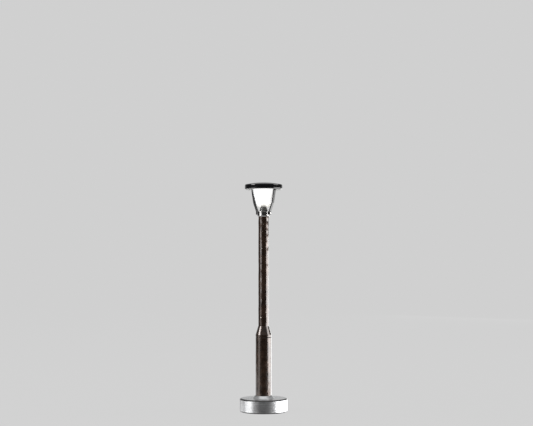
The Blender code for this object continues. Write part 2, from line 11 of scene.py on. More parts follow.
import bpy
import numpy as np
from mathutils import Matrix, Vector


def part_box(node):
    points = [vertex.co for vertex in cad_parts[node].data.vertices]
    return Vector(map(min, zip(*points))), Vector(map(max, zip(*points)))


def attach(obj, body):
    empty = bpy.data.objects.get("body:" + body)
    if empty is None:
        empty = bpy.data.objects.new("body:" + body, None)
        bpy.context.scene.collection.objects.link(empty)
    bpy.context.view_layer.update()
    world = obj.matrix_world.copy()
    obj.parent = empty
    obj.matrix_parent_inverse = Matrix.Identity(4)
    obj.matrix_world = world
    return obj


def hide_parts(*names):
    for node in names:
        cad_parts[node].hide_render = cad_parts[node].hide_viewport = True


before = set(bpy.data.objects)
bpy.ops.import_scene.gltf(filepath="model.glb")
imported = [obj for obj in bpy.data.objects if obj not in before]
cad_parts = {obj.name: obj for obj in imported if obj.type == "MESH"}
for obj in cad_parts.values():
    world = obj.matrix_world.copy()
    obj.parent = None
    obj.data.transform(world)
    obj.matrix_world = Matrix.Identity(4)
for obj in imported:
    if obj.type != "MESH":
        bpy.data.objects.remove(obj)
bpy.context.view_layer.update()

MM = 0.001
ORIGIN = (0.0, 0.0, 0.0)

# %% [markdown]
# ## Reading a turned piece's outline
#
# Most of the lamp is turned on a lathe, so half an outline says everything about a piece. The CAD solid
# has such an outline standing in the half-plane where y is 0 and x is above 0: the edges there, joined
# end to end. Reading it means that the fine piece stays exactly where the solid is. The solid's
# triangles are loose, so points in the same place are first given one number.

# %% Outlines from the CAD solids
GRID = 1e-7  # points are rounded to this, in metres, to tell which are in the same place
STEPS_OFF = 2  # how many grid steps a point may be off the plane or the axis


def points_of(mesh):
    """A mesh's points as rows of x, y and z."""
    points = np.empty(3 * len(mesh.vertices))
    mesh.vertices.foreach_get("co", points)
    return points.reshape(-1, 3)


def outline_of(node, centre=ORIGIN, order=(0, 1, 2)):
    """The (radius, height) points of a turned solid, in order along its outline.

    An edge belongs to the outline if both its ends have y equal to the centre's y, and an x that is
    not less than the centre's. From one end, or from anywhere on a closed outline, the walk always
    takes the neighbour that it hasn't been to. An open walk may stop short of the axis, since a flat
    end face needs no point at its middle. It is then carried on to the axis, at the height of the
    solid's own point there if that is nearly level. order swaps the axes, for a piece that lies along
    X and for an outline that stands in the plane where x is 0.
    """
    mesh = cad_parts[node].data
    points = (points_of(mesh) - centre)[:, list(order)]
    edges = np.empty(2 * len(mesh.edges), int)
    mesh.edges.foreach_get("vertices", edges)
    places, number = np.unique(np.round(points / GRID).astype(int), axis=0, return_inverse=True)
    edges = number.ravel()[edges].reshape(-1, 2)
    inside = (np.abs(places[:, 1]) <= STEPS_OFF) & (places[:, 0] >= -STEPS_OFF)
    edges = np.unique(np.sort(edges[inside[edges].all(1) & (edges[:, 0] != edges[:, 1])], 1), axis=0)
    beside = {}
    for a, b in edges.tolist():
        beside.setdefault(a, []).append(b)
        beside.setdefault(b, []).append(a)
    ends = [a for a, others in beside.items() if len(others) == 1]
    walk = [ends[0] if ends else min(beside)]
    while True:
        ahead = [b for b in beside[walk[-1]] if b not in walk]
        if not ahead:
            break
        walk.append(ahead[0])
    outline = places[walk][:, [0, 2]] * GRID
    if ends:
        on_axis = places[(np.abs(places[:, :2]) <= STEPS_OFF).all(1), 2] * GRID
        middle = outline[[0, -1]] * (0, 1)
        for point, radius in zip(middle, outline[[0, -1], 0]):
            near = on_axis[np.abs(on_axis - point[1]) < 0.1 * radius]
            point[1] = near[0] if len(near) else point[1]
        outline = np.concatenate([middle[:1], outline, middle[1:]])
        apart = np.linalg.norm(np.diff(outline, axis=0), axis=1) > 0.001 * MM
        outline = outline[np.append(True, apart)]
        outline[[0, -1], 0] = 0.0
    return outline


for node in ("base_shell", "mast_reducer", "lantern_glass", "roof_cap"):
    print(node, "outline has", len(outline_of(node)), "corners")

# %% [markdown]
# ## Rounding the corners
#
# No real edge is perfectly sharp, and a sharp edge in a render catches no light. Each corner of an
# outline is replaced with a short arc that touches both its sides. A shallow corner is a step of a
# curve that the solid shows as straight pieces, so there the arc takes nearly half of each side and the
# curve becomes smooth again. One more point a little way along each side keeps the flat parts flat.

# %% Corner arcs
CURVE_TURN = 11.0  # a corner that turns by fewer degrees than this is a step of a curve
STRAIGHT_TURN = 0.5  # and one that turns by fewer than this is no corner
NEARLY_HALF = 0.46  # an arc takes no more than this share of a side
EDGE_REACH = 0.04 * MM


def rounded(outline, reach=EDGE_REACH, steps=5, closed=None):
    """Replaces each corner with an arc.

    With unit directions u and v from the corner to its neighbours and t the arc's reach along both
    sides, the arc starts at corner + t u and ends at corner + t v. Its centre is on the bisector, at
    t / cos(half the angle between u and v), and points between are the two radii blended by sines.
    An outline is taken as closed if it doesn't start on the axis.
    """
    outline = np.asarray(outline, float)
    if closed is None:
        closed = outline[0, 0] > 1e-9
    before, after = np.roll(outline, 1, 0) - outline, np.roll(outline, -1, 0) - outline
    room = np.minimum(np.linalg.norm(before, axis=1), np.linalg.norm(after, axis=1))
    u = before / np.linalg.norm(before, axis=1)[:, None]
    v = after / np.linalg.norm(after, axis=1)[:, None]
    half = np.arccos(np.clip((u * v).sum(1), -1, 1)) / 2
    turn = 180 - np.degrees(2 * half)
    t = np.where(turn < CURVE_TURN, NEARLY_HALF * room, np.minimum(reach, NEARLY_HALF * room))
    straight = turn < STRAIGHT_TURN
    bisector = u + v
    length = np.linalg.norm(bisector, axis=1)
    bisector = bisector / np.where(length < 1e-9, 1, length)[:, None]
    centre = outline + bisector * (t / np.maximum(np.cos(half), 1e-6))[:, None]
    start, end = outline + u * t[:, None] - centre, outline + v * t[:, None] - centre
    sweep = np.pi - 2 * half
    share = np.linspace(0, 1, steps + 1)
    safe = np.maximum(sweep, 1e-4)[:, None]
    first = (np.sin((1 - share) * safe) / np.sin(safe))[..., None]
    second = (np.sin(share * safe) / np.sin(safe))[..., None]
    arcs = centre[:, None] + first * start[:, None] + second * end[:, None]
    beyond = t[:, None] + np.minimum(0.5 * t, 0.03 * room)[:, None]
    rows = np.concatenate([(outline + u * beyond)[:, None], arcs, (outline + v * beyond)[:, None]], 1)
    rows[straight] = outline[straight][:, None]
    if not closed:
        rows[0], rows[-1] = outline[0], outline[-1]
    rows = rows.reshape(-1, 2)
    keep = np.linalg.norm(rows - np.roll(rows, 1, 0), axis=1) > 1e-8
    keep[0] = True
    return rows[keep]


print("one square corner becomes", len(rounded([[1, 0], [1, 1], [2, 1], [2, 0]])) // 4, "points")

# %% [markdown]
# ## Turning an outline into a surface
#
# Blender's Screw or Spin would turn the outline too. Here the surface is written as what it is, a
# function of two parameters: the place along the outline and the angle round the axis. The whole grid
# of points then comes from one multiplication. The volume's sign tells whether the faces point outward.

# %% Surfaces as grids
def piece_from(name, points, faces):
    """A smooth-shaded object from points and groups of faces.

    It is turned inside out if its volume is negative.
    The volume is a sixth of the sum of a . (b x c) over the triangles of every face's fan.
    """
    volume = 0.0
    for group in faces:
        for i in range(1, group.shape[1] - 1):
            a, b, c = points[group[:, 0]], points[group[:, i]], points[group[:, i + 1]]
            volume += np.einsum("ij,ij->", a, np.cross(b, c)) / 6
    if volume < 0:
        faces = [group[:, ::-1] for group in faces]
    data = bpy.data.meshes.new(name)
    data.from_pydata(points.tolist(), [], [face for group in faces for face in group.tolist()])
    data.shade_smooth()
    obj = bpy.data.objects.new(name, data)
    bpy.context.scene.collection.objects.link(obj)
    return obj


def grid_faces(rows, columns, closed):
    """Four-cornered faces of a grid. Its columns join round, and its rows too if it is closed."""
    number = np.arange(rows * columns).reshape(rows, columns)
    above = np.roll(number, -1, 0)
    if not closed:
        number, above = number[:-1], above[:-1]
    return np.stack([number, np.roll(number, -1, 1), np.roll(above, -1, 1), above], -1).reshape(-1, 4)


def fan(centre, ring):
    """Triangles from one point to a ring of points."""
    return np.stack([np.full(len(ring), centre), ring, np.roll(ring, -1)], -1)


def turned(name, outline, around=96, reshape=None):
    """Turns an outline round Z: the point at angle a is (r cos a, r sin a, z) for each (r, z).

    An outline that starts and ends on the axis has a single point there, in a fan of triangles.
    reshape takes the rings' points, as rows by angle, and gives them back moved.
    """
    outline = np.asarray(outline, float)
    pole = outline[0, 0] < 1e-9
    rings = outline[1:-1] if pole else outline
    angle = np.linspace(0, 2 * np.pi, around, endpoint=False)
    r, z = rings[:, :1], rings[:, 1:]
    points = np.stack([r * np.cos(angle), r * np.sin(angle), z + 0 * angle], -1)
    if reshape is not None:
        points = reshape(points)
    points = points.reshape(-1, 3)
    faces = [grid_faces(len(rings), around, not pole)]
    if pole:
        count = len(points)
        ends = np.array([[0, 0, outline[0, 1]], [0, 0, outline[-1, 1]]])
        ends = ends if reshape is None else reshape(ends)
        points = np.concatenate([points, ends])
        faces += [fan(count, np.arange(around)[::-1]), fan(count + 1, np.arange(count - around, count))]
    return piece_from(name, points, faces)


# %% [markdown]
# ## Sweeping a strip along a path
#
# The two arms are flat strip bent in one plane. The same idea works with other parameters: the place
# along the bent centre line and the place round the strip's rounded cross-section.

# %% Surfaces along a path
def swept(name, path, across, section, taper):
    """Carries a closed section along a path.

    path is rows of points, and across the unit direction of the section's first axis, the same all
    along. The second axis is the path's direction crossed with it. A section point (p, q) at a path
    point P is at P + p across + q second axis. taper scales p at each path point.
    """
    ahead = np.gradient(path, axis=0)
    ahead /= np.linalg.norm(ahead, axis=1)[:, None]
    second = np.cross(ahead, across)
    points = (
        path[:, None]
        + (taper[:, None] * section[:, 0])[..., None] * np.asarray(across)
        + section[:, 1][:, None] * second[:, None]
    )
    rows, columns = points.shape[:2]
    ends = np.stack([points[0].mean(0), points[-1].mean(0)])
    points = points.reshape(-1, 3)
    count = len(points)
    faces = [
        grid_faces(rows, columns, False),
        fan(count, np.arange(columns)[::-1]),
        fan(count + 1, np.arange(count - columns, count)),
    ]
    return piece_from(name, np.concatenate([points, ends]), faces)


# %% [markdown]
# ## Building finishes
#
# A finish is a Principled shader with a few nodes that vary it. Two helpers keep that short: one makes a
# material with fixed sockets, the other adds a node and either sets or links each of its inputs. The
# rest are the nodes that come back again and again.

# %% Finish helpers
def finish(name, **sockets):
    """A material whose Principled shader has these sockets set, with _ for each space in their names."""
    material = bpy.data.materials.new(name)
    material.use_nodes = True
    shader = material.node_tree.nodes["Principled BSDF"]
    for key, value in sockets.items():
        shader.inputs[key.replace("_", " ")].default_value = value
    return material


def add(material, kind, inputs=None, **settings):
    """Adds a node to a material, or to the world.

    An input that is another node's output is linked, and anything else is set.
    """
    made = material.node_tree.nodes.new("ShaderNode" + kind)
    for key, value in settings.items():
        setattr(made, key, value)
    for key, value in (inputs or {}).items():
        if isinstance(value, bpy.types.NodeSocket):
            material.node_tree.links.new(value, made.inputs[key])
        else:
            made.inputs[key].default_value = value
    return made


def feed(material, **sockets):
    """Links outputs into the Principled shader."""
    shader = material.node_tree.nodes["Principled BSDF"]
    for key, value in sockets.items():
        material.node_tree.links.new(value, shader.inputs[key.replace("_", " ")])


def place_of(material):
    """Where a point is, in metres from the middle of the base's underside."""
    return add(material, "TexCoord").outputs["Object"]


def combine(material, operation, first, second):
    """One number from two, with an operation of the Math node."""
    return add(material, "Math", {0: first, 1: second}, operation=operation).outputs[0]


def noise(material, place, scale, detail=3.0, roughness=0.5):
    """A soft random pattern from 0 to 1. Its lumps are about 1 / scale metres across."""
    inputs = {"Vector": place, "Scale": scale, "Detail": detail, "Roughness": roughness}
    return add(material, "TexNoise", inputs).outputs[0]


def spread(material, value, low, high, to_low, to_high):
    """Maps low..high to to_low..to_high and stops at the ends."""
    inputs = {"Value": value, "From Min": low, "From Max": high, "To Min": to_low, "To Max": to_high}
    return add(material, "MapRange", inputs).outputs[0]


def blend(material, share, first, second):
    """A colour between two others. Sockets 6 and 7 of a Mix node are its colours."""
    colours = [c if isinstance(c, bpy.types.NodeSocket) else (*c, 1.0) for c in (first, second)]
    return add(material, "Mix", {0: share, 6: colours[0], 7: colours[1]}, data_type="RGBA").outputs[2]


def relief(material, height, distance, under=None):
    """A bump normal. distance is how far, in metres, a height of 1 stands above a height of 0."""
    inputs = {"Height": height, "Distance": distance, "Strength": 1.0}
    if under is not None:
        inputs["Normal"] = under
    return add(material, "Bump", inputs).outputs[0]


def axis_split(material, place):
    """Distance from the mast's axis, and height."""
    flat = add(material, "VectorMath", {0: place, 1: (1.0, 1.0, 0.0)}, operation="MULTIPLY").outputs[0]
    radius = add(material, "VectorMath", {0: flat}, operation="LENGTH").outputs["Value"]
    return radius, add(material, "SeparateXYZ", {0: place}).outputs["Z"]


# %% [markdown]
# ## Turned nickel
#
# The base is turned from bar and plated. A lathe tool leaves a groove for each turn, so the marks are
# rings on the flat top and lines round the side. Noise read along radius plus height gives both at once,
# since one of the two stands still on either surface. Handling leaves faint duller patches. The base's
# two outer edges get painted shade: a dark grey line that stands in for the shadow and dark reflections
# on their chamfers. An upper edge is where radius plus height is largest, and a lower one is where
# radius minus height is, so each is found with one sum.

# %% Nickel finishes
GROOVE_SCALE = 11000.0  # about 0.1 mm from groove to groove
EDGE_FADE = 0.03 * MM
# The base's outer edges get painted shade, a dark grey line standing in for the shadow and dark
# reflections on their chamfers.
BASE_SHADE_EDGES = (6.69 * MM, 4.25 * MM)  # where the upper and the lower edge begin
EDGE_SHADE_GREY = (0.09, 0.09, 0.09)
NICKEL_COLOURS = ((0.78, 0.79, 0.8), (0.55, 0.55, 0.56))


def turned_metal(name, bright, dull, mark_depth, low, high, painted_edge_shade=None):
    """Turned metal with marks mark_depth deep and a roughness from low to high.

    The last argument, if given, says where the painted edge shade begins: the radius plus height at
    which it starts on an upper outer edge, and the radius minus height at which it starts on a lower one.
    """
    material = finish(name, Metallic=1.0, Anisotropic=0.35)
    place = place_of(material)
    radius, height = axis_split(material, place)
    along = combine(material, "ADD", radius, height)
    inputs = {"W": along, "Scale": GROOVE_SCALE, "Detail": 3.0, "Roughness": 0.6}
    marks = add(material, "TexNoise", inputs, noise_dimensions="1D").outputs[0]
    patches = noise(material, place, 650.0, 5.0, 0.65)
    colour = blend(material, spread(material, patches, 0.35, 0.7, 0.0, 1.0), bright, dull)
    # Painted shade: a dark grey line along the base's outer edges.
    if painted_edge_shade:
        across = combine(material, "SUBTRACT", radius, height)
        upper, lower = (
            spread(material, value, start, start + EDGE_FADE, 0.0, 1.0)
            for value, start in zip((along, across), painted_edge_shade)
        )
        colour = blend(material, combine(material, "MAXIMUM", upper, lower), colour, EDGE_SHADE_GREY)
    feed(
        material,
        Base_Color=colour,
        Roughness=spread(material, marks, 0.3, 0.7, low, high),
        Normal=relief(material, marks, mark_depth),
    )
    return material


nickel = turned_metal("turned_nickel", *NICKEL_COLOURS, 2.5e-6, 0.23, 0.34)
# The base gets its own copy, with painted shade on its outer edges.
base_nickel_edge_shade = turned_metal("turned_nickel_base_edge_shade", *NICKEL_COLOURS, 2.5e-6, 0.23, 0.34, BASE_SHADE_EDGES)
plate = turned_metal("bright_nickel", (0.74, 0.73, 0.72), (0.55, 0.54, 0.53), 0.6e-6, 0.08, 0.15)
brass = turned_metal("turned_brass", (0.80, 0.60, 0.30), (0.66, 0.46, 0.20), 1.5e-6, 0.2, 0.32)
print("metal finishes:", nickel.name, base_nickel_edge_shade.name, plate.name, brass.name)

# %% [markdown]
# ## Dark bronze lacquer
#
# The mast is brass tube under a thin, dark, half-glossy lacquer. The lacquer isn't even: it lies in
# small lumps, is browner where it is thin, and has pin-head chips where the metal shows. The lumps bend
# the long highlights into beads. The lower tube has the calmer coat of the two.

# %% Bronze finishes
THICK_LACQUER, THIN_LACQUER = (0.013, 0.006, 0.003), (0.056, 0.030, 0.018)
CHIP_COLOUR = (0.62, 0.57, 0.5)


def bronze_lacquer(name, lump_depth, grain_depth, chips):
    """Dark lacquer with lumps and grain of these depths. It is chipped where a noise is over chips."""
    material = finish(name, Metallic=0.65, Coat_Weight=1.0, Coat_Roughness=0.12, Coat_IOR=1.5)
    place = place_of(material)
    lumps = noise(material, place, 1500.0, 2.0)
    grain = noise(material, place, 7000.0, 3.0, 0.6)
    thin = noise(material, place, 650.0, 4.0, 0.6)
    spots = noise(material, place, 2600.0, 1.0)
    brown = blend(material, spread(material, thin, 0.35, 0.7, 0.0, 1.0), THICK_LACQUER, THIN_LACQUER)
    chipped = spread(material, spots, chips, chips + 0.02, 0.0, 1.0)
    feed(
        material,
        Base_Color=blend(material, chipped, brown, CHIP_COLOUR),
        Roughness=spread(material, grain, 0.3, 0.7, 0.2, 0.36),
        Normal=relief(material, grain, grain_depth, relief(material, lumps, lump_depth)),
    )
    return material


bronze_upper = bronze_lacquer("dark_bronze_mottled", 14e-6, 2.4e-6, 0.76)
bronze_lower = bronze_lacquer("dark_bronze_smooth", 5e-6, 1.4e-6, 0.8)
print("lacquers:", bronze_upper.name, bronze_lower.name)

# %% [markdown]
# ## Paints
#
# The arms and the outside of the roof are sprayed gloss black, so they have the faint ripple of a
# sprayed coat and a few dust specks. The roof's underside is white to throw the light down, and so is
# its cap's inner wall. The lower half of its rolled lip is a painted highlight: pale grey that stands in
# for the glow the lip catches from the lantern below. The cap is one piece, so its finish finds these
# pale parts by their height and their distance from the axis.

# %% Paint finishes
LIP_MIDDLE = 41.66 * MM
INNER_WALL = 3.30 * MM
PLATE_UNDERSIDE = 42.28 * MM
PAINT_FADE = 0.04 * MM
# Pale grey for the cap's white inner wall, and a painted highlight on the lower half of its lip.
PALE_GREY_AND_LIP_GLOW = (0.5, 0.5, 0.49)


def sprayed(name, colour, dusty, low, high, ripple, inside=None):
    """Sprayed paint with a roughness from low to high and ripples of this depth.

    inside makes a share from radius and height, and where that is 1 the paint is pale grey instead: white
    paint on the roof cap's inner wall, and a painted highlight on the lower half of its lip.
    """
    material = finish(name)
    place = place_of(material)
    dust = noise(material, place, 5200.0, 2.0, 0.7)
    peel = noise(material, place, 2300.0, 1.0)
    paint = blend(material, spread(material, dust, 0.55, 0.8, 0.0, 1.0), colour, dusty)
    # Where the share is 1 the paint turns pale grey. On the roof's lip this is a painted highlight.
    if inside:
        paint = blend(material, inside(material, *axis_split(material, place)), paint, PALE_GREY_AND_LIP_GLOW)
    feed(
        material,
        Base_Color=paint,
        Roughness=spread(material, dust, 0.3, 0.75, low, high),
        Normal=relief(material, peel, ripple),
    )
    return material


def under_the_lip(material, radius, height):
    """1 below the middle of the roof's rolled lip, and 1 on the cap's inner wall."""
    # Below the lip's middle the pale grey is a painted highlight for the lantern's glow on the lip.
    below = spread(material, height, LIP_MIDDLE, LIP_MIDDLE + PAINT_FADE, 1.0, 0.0)
    within = spread(material, radius, INNER_WALL, INNER_WALL + PAINT_FADE, 1.0, 0.0)
    under_plate = spread(material, height, PLATE_UNDERSIDE, PLATE_UNDERSIDE + PAINT_FADE / 2, 1.0, 0.0)
    return combine(material, "MAXIMUM", below, combine(material, "MULTIPLY", within, under_plate))


black, dusty_black = (0.003, 0.003, 0.0035), (0.008, 0.008, 0.0078)
arm_black = sprayed("gloss_black_paint", black, dusty_black, 0.1, 0.18, 1.2e-6)
roof_black_and_lip_glow = sprayed("gloss_black_roof_paint_lip_glow", black, dusty_black, 0.045, 0.09, 0.8e-6, under_the_lip)
reflector_white = sprayed("white_paint", (0.86, 0.86, 0.84), (0.76, 0.76, 0.73), 0.3, 0.45, 2e-6)
print("paints:", arm_black.name, roof_black_and_lip_glow.name, reflector_white.name)

# %% [markdown]
# ## Lit glass
#
# The lantern is moulded, frosted and lit from inside. It is nearly clear at its foot, where the dark
# lamp holder shows through, and above the lamp it glows evenly. So both its opacity and its glow rise
# with height, and the glow is a little warmer low down. Seen along its wall, glass looks denser and
# glows less, and Layer Weight gives both.

# %% Glass and lens finishes
CLEAR_BELOW, FROSTED_ABOVE = 38.25 * MM, 39.3 * MM
FAINT_BELOW, BRIGHT_ABOVE = 37.5 * MM, 39.2 * MM
WARM_WHITE, COOL_WHITE = (1.0, 0.93, 0.78), (1.0, 0.985, 0.975)
glass = finish("lit_frosted_glass", Roughness=0.42, IOR=1.5, Specular_IOR_Level=0.4)
place = place_of(glass)
glass_height = axis_split(glass, place)[1]
frost = noise(glass, place, 5000.0, 3.0)
rise = spread(glass, glass_height, CLEAR_BELOW, FROSTED_ABOVE, 0.0, 1.0)
rim = add(glass, "LayerWeight", {"Blend": 0.3}).outputs["Facing"]
dense = spread(glass, rim, 0.45, 0.95, 0.008, 0.55)
opacity = combine(glass, "MAXIMUM", dense, spread(glass, rise, 0.0, 1.0, 0.0, 0.97))
edge_on = add(glass, "LayerWeight", {"Blend": 0.5}).outputs["Facing"]
brighter_up = spread(glass, glass_height, FAINT_BELOW, BRIGHT_ABOVE, 0.2, 1.0)
glow = combine(glass, "MULTIPLY", brighter_up, spread(glass, edge_on, 0.15, 0.8, 1.0, 0.2))
feed(
    glass,
    Base_Color=blend(glass, frost, (0.5, 0.51, 0.52), (0.58, 0.59, 0.6)),
    Alpha=opacity,
    Emission_Color=blend(glass, rise, WARM_WHITE, COOL_WHITE),
    Emission_Strength=glow,
    Normal=relief(glass, frost, 1.5e-6),
)

lens = finish("led_phosphor", Roughness=0.3, Emission_Strength=3.0)
place = place_of(lens)
yellow = blend(lens, noise(lens, place, 6000.0), (0.95, 0.8, 0.28), (1.0, 0.92, 0.6))
feed(lens, Base_Color=yellow, Emission_Color=yellow)
print("lit finishes:", glass.name, lens.name)

# %% [markdown]
# ## Plastics, board and wire
#
# Moulded plastic has a fine matt grain. The contact board is green lacquer over glass cloth, with
# tinned rings for the plug, and the wires are copper under clear enamel.

# %% Plastic, board and wire finishes
FIRST_RING = 0.9 * MM  # the tinned rings lie at this radius and at its odd multiples


def moulded(name, colour, second, low=0.42, high=0.58):
    """Moulded plastic between two colours, with a roughness from low to high."""
    material = finish(name)
    grain = noise(material, place_of(material), 4200.0, 4.0, 0.6)
    feed(
        material,
        Base_Color=blend(material, grain, colour, second),
        Roughness=spread(material, grain, 0.3, 0.7, low, high),
        Normal=relief(material, grain, 1.5e-6),
    )
    return material


white_plastic = moulded("white_plastic", (0.8, 0.79, 0.75), (0.88, 0.87, 0.84))
dark_plastic = moulded("dark_plastic", (0.03, 0.03, 0.029), (0.06, 0.06, 0.058))
holder_plastic = moulded("holder_plastic", (0.012, 0.012, 0.0115), (0.03, 0.03, 0.028), 0.4, 0.55)
enamel = moulded("enamelled_copper", (0.5, 0.18, 0.07), (0.62, 0.27, 0.11), 0.2, 0.32)
enamel.node_tree.nodes["Principled BSDF"].inputs["Metallic"].default_value = 0.9

board = finish("circuit_board")
place = place_of(board)
inputs = {"Vector": place, "Scale": 900.0, "Distortion": 1.5, "Detail": 2.0}
weave = add(board, "TexWave", inputs).outputs[1]
rings = combine(board, "PINGPONG", axis_split(board, place)[0], FIRST_RING)
tinned = spread(board, rings, 0.66 * MM, 0.7 * MM, 0.0, 1.0)
green = blend(board, weave, (0.018, 0.12, 0.05), (0.03, 0.17, 0.075))
feed(
    board,
    Base_Color=blend(board, tinned, green, (0.72, 0.7, 0.66)),
    Metallic=tinned,
    Roughness=spread(board, weave, 0.0, 1.0, 0.28, 0.38),
    Normal=relief(board, tinned, 8e-6, relief(board, weave, 1e-6)),
)
print("finishes:", len(bpy.data.materials))

# %% [markdown]
# ## Putting a piece in its place
#
# Every piece gets a finish and the body that it moves with, and the CAD nodes that it stands for are
# hidden.

# %% The last step of every piece
made = []


def fit(obj, material, body, slot, *nodes):
    """Gives a piece its finish and its body, and hides the nodes that it stands for. slot is not used."""
    obj.data.materials.clear()
    obj.data.materials.append(material)
    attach(obj, body)
    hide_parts(*nodes)
    made.append((obj.name, len(obj.data.polygons)))
    return obj


def from_solid(
    node, material, body, slot, around=96, reach=EDGE_REACH, centre=ORIGIN, order=(0, 1, 2)
):
    """The fine version of a turned solid: its own outline, with the corners rounded, turned again.

    around is the number of points round the axis, and reach how far the rounding goes.
    """
    outline = rounded(outline_of(node, centre, order), reach)
    obj = turned(node + "_fine", outline, around, lambda points: points[..., list(order)] + centre)
    return fit(obj, material, body, slot, node)


# %% [markdown]
# ## The base
#
# The base is a turned disc with a hollow underside and a low hub that the mast's foot turns in. Inside
# the hub the socket's sleeve comes up to the level of the disc's top. Below are the insulator and the
# centre contact that the plug touches.

# %% Base pieces
from_solid("base_shell", base_nickel_edge_shade, "base", "turned_nickel", 192, 0.05 * MM)
from_solid("socket_sleeve", plate, "base", "bright_nickel", 128, 0.03 * MM)
from_solid("socket_insulator", white_plastic, "base", "white_plastic", 64, 0.03 * MM)
from_solid("centre_contact", brass, "base", "brass", 64, 0.02 * MM)
low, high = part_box("lead_grommet")
grommet_centre = (round((low.x + high.x) / 2, 7), round((low.y + high.y) / 2, 7), 0.0)
from_solid("lead_grommet", dark_plastic, "base", "dark_plastic", 64, 0.03 * MM, centre=grommet_centre)
print("grommet stands at", [round(v / MM, 3) for v in grommet_centre], "mm")

# %% [markdown]
# ## The mast
#
# Thin tube that has been cut, filed, soldered and lacquered by hand is never quite round. Its radius
# gets a little wave of a few thousandths of a millimetre: the sum of sine waves that run round and up
# the tube, each with a whole number of turns so that it closes, and with its strength falling as it
# gets finer. A fixed seed gives the same tube every time.

# %% Mast pieces
WAVES = 40
MOST_TURNS = 4
FINEST_WAVE = 1.1 * MM
FADING = 2.5  # radians per millimetre from which a wave up the tube gets weaker


def hand_worked(depth, seed):
    """Moves points in or out by depth times a sum of waves.

    Each wave is strength sin(n angle + k height + phase). The sum is divided by what it usually
    reaches, which is the square root of half the sum of the squared strengths.
    """
    draw = np.random.default_rng(seed)
    n = draw.integers(-MOST_TURNS, MOST_TURNS + 1, WAVES)
    k = draw.uniform(-1, 1, WAVES) * 2 * np.pi / FINEST_WAVE
    phase = draw.uniform(0, 2 * np.pi, WAVES)
    strength = 1 / (1 + (k * MM / FADING) ** 2) ** 0.5

    def reshape(points):
        angle = np.arctan2(points[..., 1], points[..., 0])[..., None]
        wave = (strength * np.sin(n * angle + k * points[..., 2:3] + phase)).sum(-1)
        wave = depth * wave / np.sqrt((strength**2).sum() / 2)
        radius = np.hypot(points[..., 0], points[..., 1])
        scale = 1 + wave / radius
        return points * np.stack([scale, scale, np.ones_like(scale)], -1)

    return reshape


def with_rows(outline, step):
    """Adds points to the long sides of an outline, so that no two are further apart than step."""
    after = np.roll(outline, -1, 0)
    counts = np.maximum(np.ceil(np.linalg.norm(after - outline, axis=1) / step).astype(int), 1)
    start = np.repeat(np.arange(len(outline)), counts)
    share = np.arange(len(start)) - np.repeat(np.cumsum(counts) - counts, counts)
    share = (share / counts[start])[:, None]
    return outline[start] * (1 - share) + after[start] * share


def tube(node, material, depth, seed, step):
    """A hand-worked tube from its solid, with a row of points at least every step."""
    outline = with_rows(rounded(outline_of(node), 0.03 * MM), step)
    obj = turned(node + "_fine", outline, 96, hand_worked(depth, seed))
    return fit(obj, material, "lamp", "dark_bronze", node)


tube("lower_mast_tube", bronze_lower, 0.004 * MM, 11, 0.25 * MM)
tube("upper_mast_tube", bronze_upper, 0.008 * MM, 12, 0.2 * MM)
from_solid("mast_reducer", bronze_lower, "lamp", "dark_bronze", 128, 0.06 * MM)
from_solid("plug_sleeve", brass, "lamp", "brass", 96, 0.03 * MM)
from_solid("plug_insulator", white_plastic, "lamp", "white_plastic", 64, 0.03 * MM)
from_solid("plug_pin", brass, "lamp", "brass", 48, 0.05 * MM)
print("mast and plug:", [name for name, _ in made[-6:]])

# %% [markdown]
# ## The lantern
#
# Collar, holder, lamp board, lens and glass stand on the mast one over the other. The collar is drilled
# along X for the rivets, so its outline is read in the plane where x is 0. The rivets fill the holes,
# so the fine collar goes without them.

# %% Lantern pieces
from_solid("head_collar", plate, "lamp", "bright_nickel", 96, 0.04 * MM, order=(1, 0, 2))
from_solid("lamp_holder", holder_plastic, "lamp", "dark_plastic", 96, 0.05 * MM)
from_solid("led_board", white_plastic, "lamp", "white_plastic", 64, 0.02 * MM)
from_solid("led_lens", lens, "lamp", "led_phosphor", 48, 0.02 * MM)
from_solid("lantern_glass", glass, "lamp", "lit_glass", 144, 0.085 * MM)
print("last piece and its faces:", *made[-1])

# %% [markdown]
# ## The arms and rivets
#
# Each arm is a flat strip, bent four times between the collar and the roof plate. Its centre line is
# half-way between the CAD strip's two outlines, and the bends are arcs. The strip's long edges are
# rounded by its cross-section and its foot is rounded by the taper. A rivet is a turned head and shank
# that is laid over to point out along X.

# %% Arm and rivet pieces
ARM_THICKNESS = 0.236 * MM
ARM_EDGE = 0.035 * MM
BEND_REACH = 0.3 * MM
PATH_STEP = 0.06 * MM
FOOT_WIDTH = 0.45  # the foot's end, as a share of the strip's width
FOOT_LENGTH = 0.55  # how far the taper goes, as a share of half the width


def side_points(node):
    """The corners of an extruded strip on its +Y side, as (x, z), from the lowest to the highest."""
    points = points_of(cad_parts[node].data)
    outer = points[points[:, 1] > points[:, 1].max() - GRID]
    corners = np.unique(np.round(outer[:, [0, 2]] / GRID), axis=0) * GRID
    return corners[np.argsort(corners[:, 1])]


def travelled(line):
    """How far along a line each of its points is."""
    return np.concatenate([[0], np.cumsum(np.linalg.norm(np.diff(line, axis=0), axis=1))])


def along(line, step, finest=0.01 * MM):
    """Points along an open line, at its own points and evenly between them."""
    length = travelled(line)
    even = np.linspace(0, length[-1], int(length[-1] / step) + 1)
    at = np.unique(np.round(np.concatenate([length, even]) / finest)) * finest
    return np.stack([np.interp(at, length, line[:, i]) for i in range(2)], -1)


def strip_section(width, thickness, edge):
    """A rectangle with rounded corners, as points (p, q) with p across the strip's width."""
    p, q = width / 2, thickness / 2
    return rounded([[p, -q], [p, q], [-p, q], [-p, -q]], edge, 4, closed=True)


